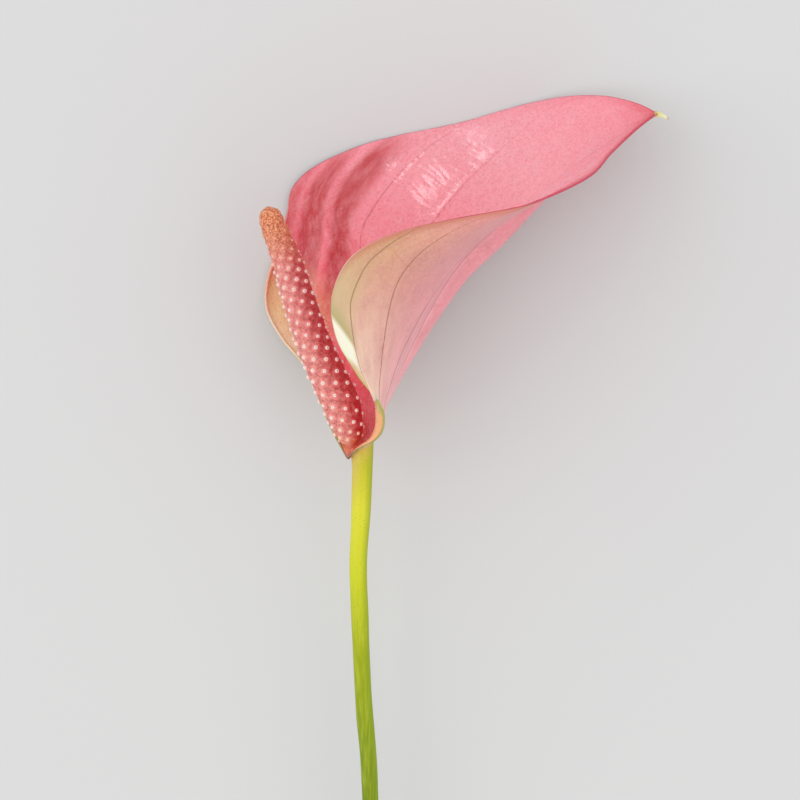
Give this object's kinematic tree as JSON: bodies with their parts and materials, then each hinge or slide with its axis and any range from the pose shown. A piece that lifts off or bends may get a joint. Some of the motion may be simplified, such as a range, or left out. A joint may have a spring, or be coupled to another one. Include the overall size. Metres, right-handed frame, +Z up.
{
  "type": "cut anthurium stem",
  "caption": "Cut anthurium flower lying on its side: a long round stem, a cupped waxy heart-shaped spathe with a pointed tip and a finger-shaped spadix.",
  "frame": {"origin": "on the surface that the flower lies on, below the middle of its bounding box", "axes": "+Z up from the surface, +Y along the stem towards the flower, +X towards the side that the spathe's tip leans to"},
  "size_m": [0.1108, 0.3986, 0.0583],
  "materials": {
    "spathe": "waxy gloss",
    "spadix": "satin, beaded with florets",
    "stem": "smooth waxy satin"
  },
  "bodies": {
    "root": {"stem": "stem", "spathe": "spathe", "spadix": "spadix"}
  },
  "joints": []
}
